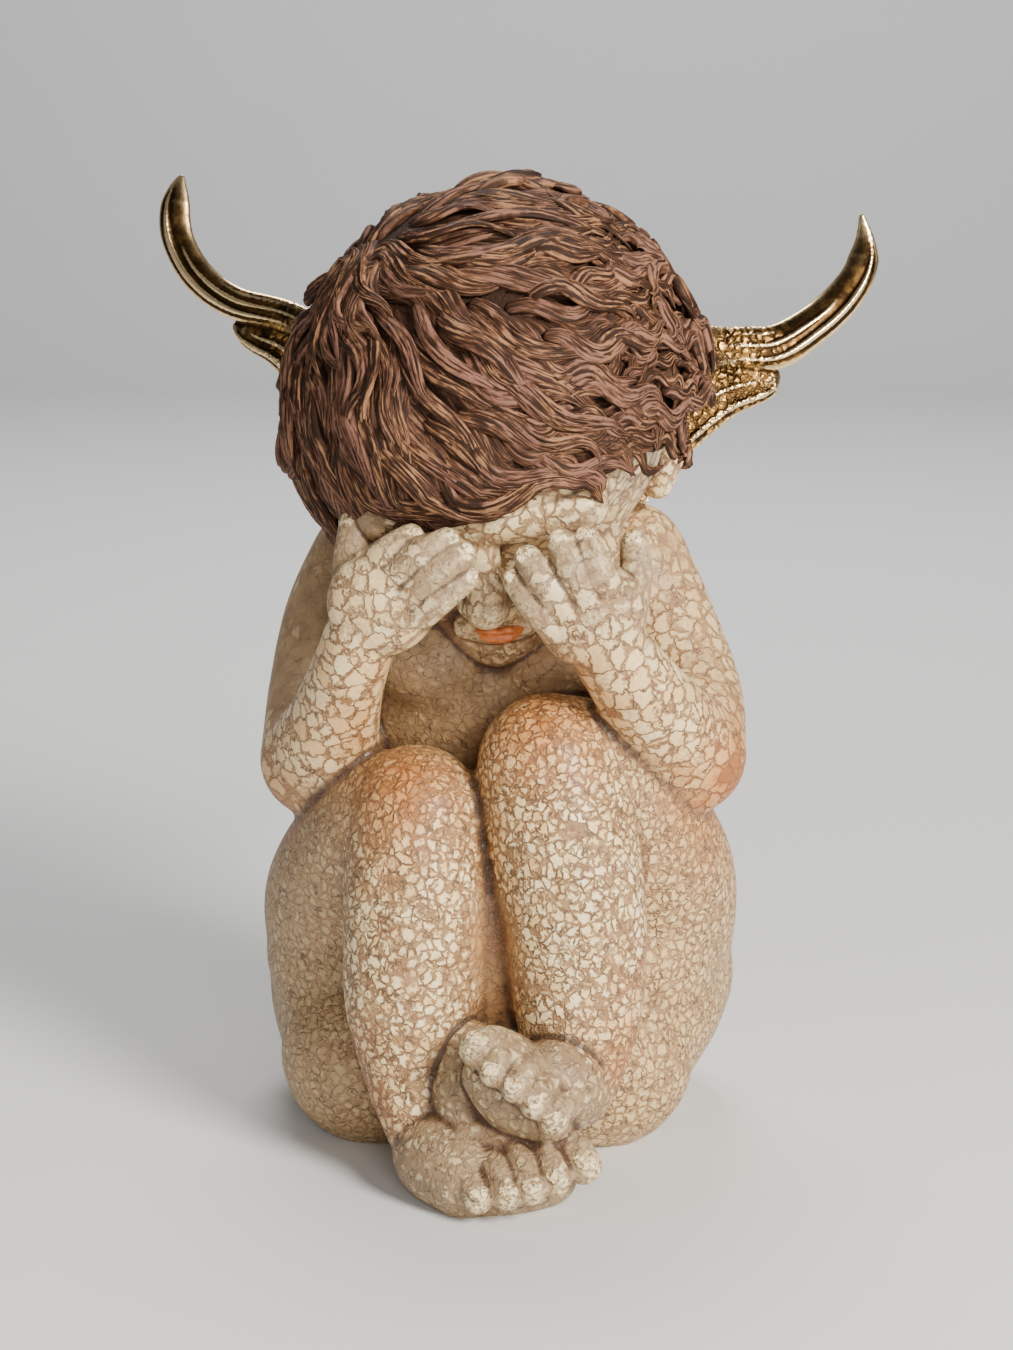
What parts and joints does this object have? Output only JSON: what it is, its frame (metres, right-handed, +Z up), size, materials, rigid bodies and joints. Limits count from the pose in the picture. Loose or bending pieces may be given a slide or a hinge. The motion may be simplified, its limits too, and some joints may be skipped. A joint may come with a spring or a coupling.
{
  "type": "stone putto statue",
  "caption": "Crouching winged child figure that covers its eyes, cast stone, rests on its seat and crossed feet as an ornament.",
  "frame": {"origin": "on the flat underside of the seat, midway between the hips", "axes": "+X towards the figure's left side, the figure faces -Y, +Z up"},
  "size_m": [0.1998, 0.1676, 0.2447],
  "materials": {
    "crackled_stone": "cream crackle paint over beige cast stone, semi-matt; the hair is painted red-brown",
    "gilding": "antique gold leaf finish, glossy on the ridges, dark in the hollows"
  },
  "bodies": {
    "root": {"figure": "crackled_stone", "right_wing": "gilding", "left_wing": "gilding"}
  },
  "joints": []
}
